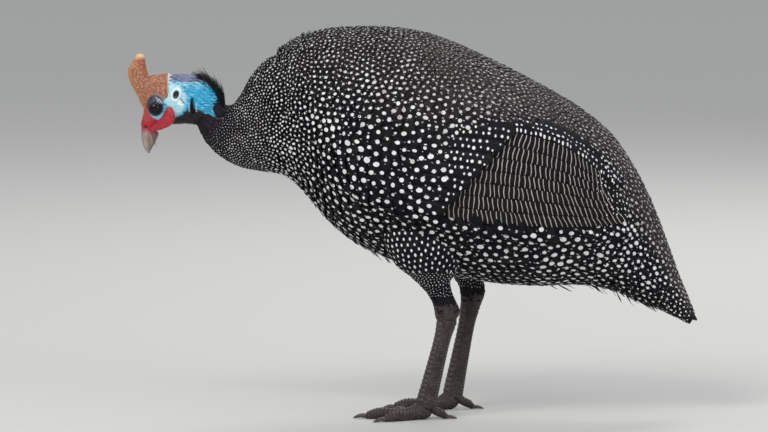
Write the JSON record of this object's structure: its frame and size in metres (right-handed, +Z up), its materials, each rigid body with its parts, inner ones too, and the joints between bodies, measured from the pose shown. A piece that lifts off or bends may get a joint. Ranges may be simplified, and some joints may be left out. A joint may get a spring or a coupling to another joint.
{
  "type": "helmeted guinea fowl",
  "caption": "Life-size helmeted guinea fowl, standing still with its head lowered, pearl-spotted dark plumage, bare blue neck, red wattles and a horn casque.",
  "frame": {"origin": "on the floor under the middle of the bird's overall length and width", "axes": "+Z up, the bill points to -X and the tail to +X, the bird's left side is -Y"},
  "size_m": [0.4098, 0.167, 0.2801],
  "materials": {
    "plumage": "matt black feathers with round white spots and white barred flight feathers",
    "bare_skin": "bare blue skin, grey-violet on the crown, black nape feathers",
    "wattle": "soft red skin",
    "casque_horn": "rough brown horn",
    "bill_horn": "satin horn",
    "eye": "wet dark eye",
    "leg_scales": "dark grey-brown scales",
    "claw_horn": "worn dark horn"
  },
  "bodies": {
    "root": {"torso": "plumage", "neck": "plumage", "tail": "plumage", "wing_left": "plumage", "wing_right": "plumage", "drumstick_left": "plumage", "drumstick_right": "plumage", "head": "bare_skin", "wattle_left": "wattle", "wattle_right": "wattle", "casque": "casque_horn", "bill_upper": "bill_horn", "bill_lower": "bill_horn", "eye_left": "eye", "eye_right": "eye", "foot_left": "leg_scales", "foot_right": "leg_scales", "claw_inner_left": "claw_horn", "claw_middle_left": "claw_horn", "claw_outer_left": "claw_horn", "claw_hind_left": "claw_horn", "claw_inner_right": "claw_horn", "claw_middle_right": "claw_horn", "claw_outer_right": "claw_horn", "claw_hind_right": "claw_horn"}
  },
  "joints": []
}
